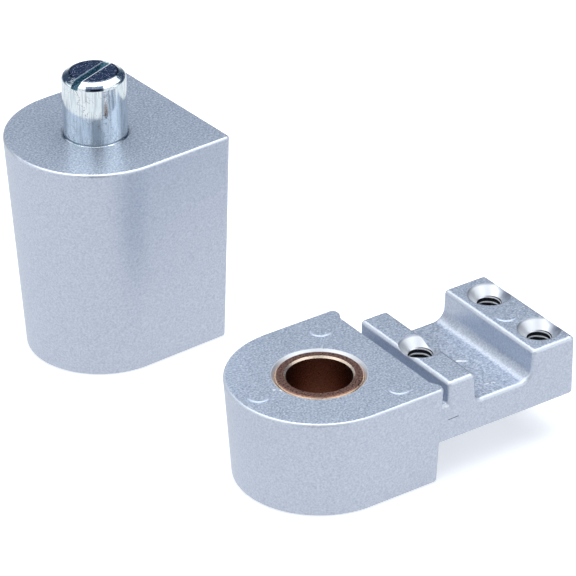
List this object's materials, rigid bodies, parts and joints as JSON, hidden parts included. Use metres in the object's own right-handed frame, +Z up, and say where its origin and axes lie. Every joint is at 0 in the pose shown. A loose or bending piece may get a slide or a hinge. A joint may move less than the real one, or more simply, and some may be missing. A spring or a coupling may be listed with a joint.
{
  "type": "offset pivot hinge",
  "caption": "Offset pivot hinge in two halves: a D-shaped barrel with a retractable slotted pin, and a bushed boss with a drilled and channelled arm.",
  "frame": {"origin": "on the pin's axis at the underside of the tall half", "axes": "+Z up along the pin, +X from the pin to the tall half's flat back, +Y away from the short half"},
  "size_m": [0.0674, 0.0994, 0.0573],
  "materials": {
    "casting": "silver metallic paint with a fine grain",
    "pin": "bright zinc plate on turned steel",
    "bush": "oiled sintered bronze"
  },
  "bodies": {
    "housing": {"pin_housing": "casting"},
    "pin": {"pivot_pin": "pin"},
    "arm": {"arm_leaf": "casting", "bush": "bush"}
  },
  "joints": [
    {"name": "pin_travel", "type": "slide", "parent": "housing", "child": "pin", "axis": [0, 0, 1], "range_m": [-0.0127, 0]},
    {"name": "swing", "type": "hinge", "parent": "housing", "child": "arm", "pos_m": [0.00377, -0.0632, 0], "axis": [0, 0, 1], "range_deg": [-105, 0]}
  ]
}
